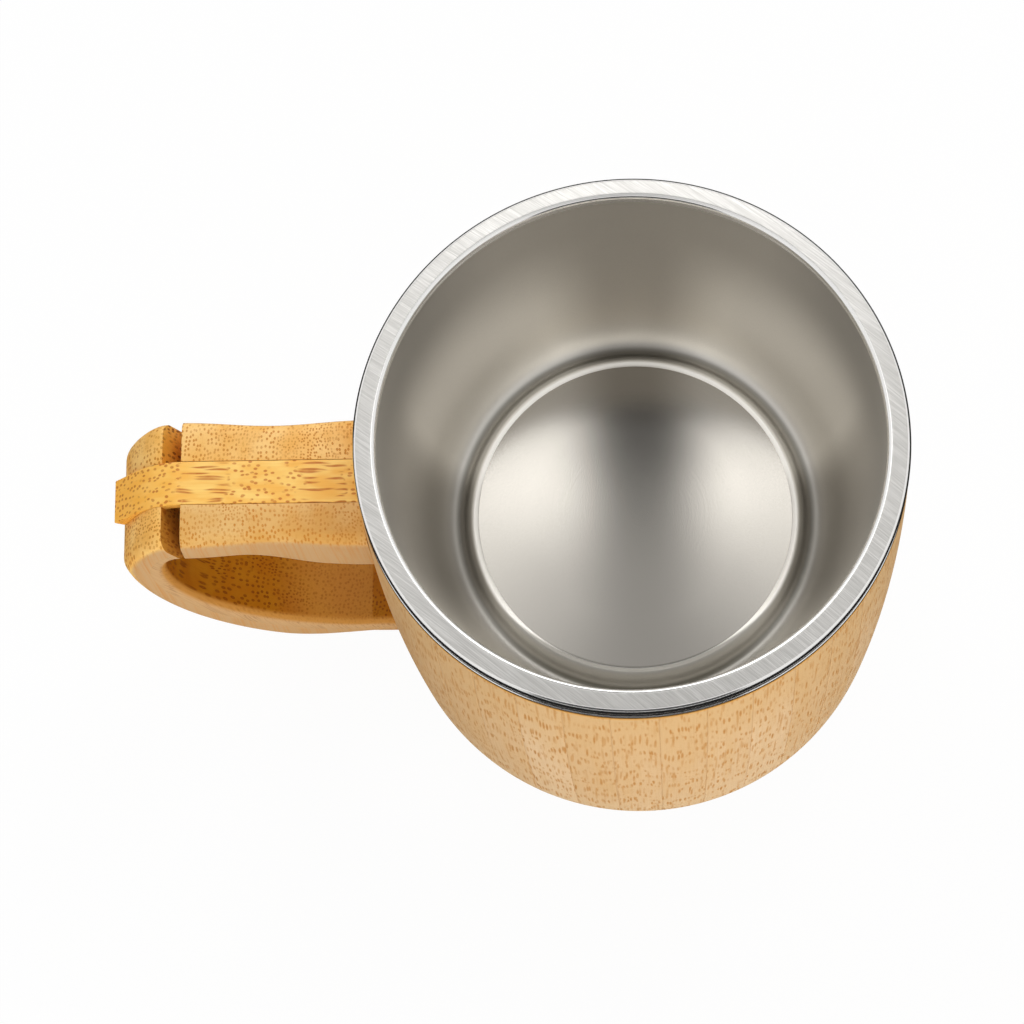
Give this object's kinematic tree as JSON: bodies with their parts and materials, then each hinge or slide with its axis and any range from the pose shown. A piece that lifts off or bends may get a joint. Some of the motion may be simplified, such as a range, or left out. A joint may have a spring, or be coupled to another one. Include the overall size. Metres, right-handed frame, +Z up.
{
  "type": "double-walled mug",
  "caption": "Double-walled mug: a steel liner with a rolled rim hangs in a shell of glued bamboo staves, with a two-part bamboo handle tied by a bent strip.",
  "frame": {"origin": "on the mug's axis, on the underside of its base", "axes": "+Z up along the mug's axis, -X towards the handle"},
  "size_m": [0.1289, 0.0876, 0.095],
  "materials": {
    "liner_steel": "satin inside, brushed on the rim",
    "seal_rubber": "matt silicone",
    "shell_bamboo": "oiled satin",
    "handle_bamboo": "oiled satin",
    "strip_bamboo": "oiled satin"
  },
  "bodies": {
    "root": {"steel_liner": "liner_steel", "rim_seal": "seal_rubber", "base_disc": "shell_bamboo", "stave_01": "shell_bamboo", "stave_02": "shell_bamboo", "stave_03": "shell_bamboo", "stave_04": "shell_bamboo", "stave_05": "shell_bamboo", "stave_06": "shell_bamboo", "stave_07": "shell_bamboo", "stave_08": "shell_bamboo", "stave_09": "shell_bamboo", "stave_10": "shell_bamboo", "stave_11": "shell_bamboo", "stave_12": "shell_bamboo", "stave_13": "shell_bamboo", "stave_14": "shell_bamboo", "stave_15": "shell_bamboo", "stave_16": "shell_bamboo", "stave_17": "shell_bamboo", "stave_18": "shell_bamboo", "stave_19": "shell_bamboo", "stave_20": "shell_bamboo", "stave_21": "shell_bamboo", "stave_22": "shell_bamboo", "stave_23": "shell_bamboo", "stave_24": "shell_bamboo", "stave_25": "shell_bamboo", "stave_26": "shell_bamboo", "stave_27": "shell_bamboo", "stave_28": "shell_bamboo", "stave_29": "shell_bamboo", "stave_30": "shell_bamboo", "stave_31": "shell_bamboo", "stave_32": "shell_bamboo", "stave_33": "shell_bamboo", "stave_34": "shell_bamboo", "stave_35": "shell_bamboo", "stave_36": "shell_bamboo", "upper_arm": "handle_bamboo", "lower_arm": "handle_bamboo", "handle_strip": "strip_bamboo", "upper_dowel": "handle_bamboo", "lower_dowel": "handle_bamboo"}
  },
  "joints": []
}
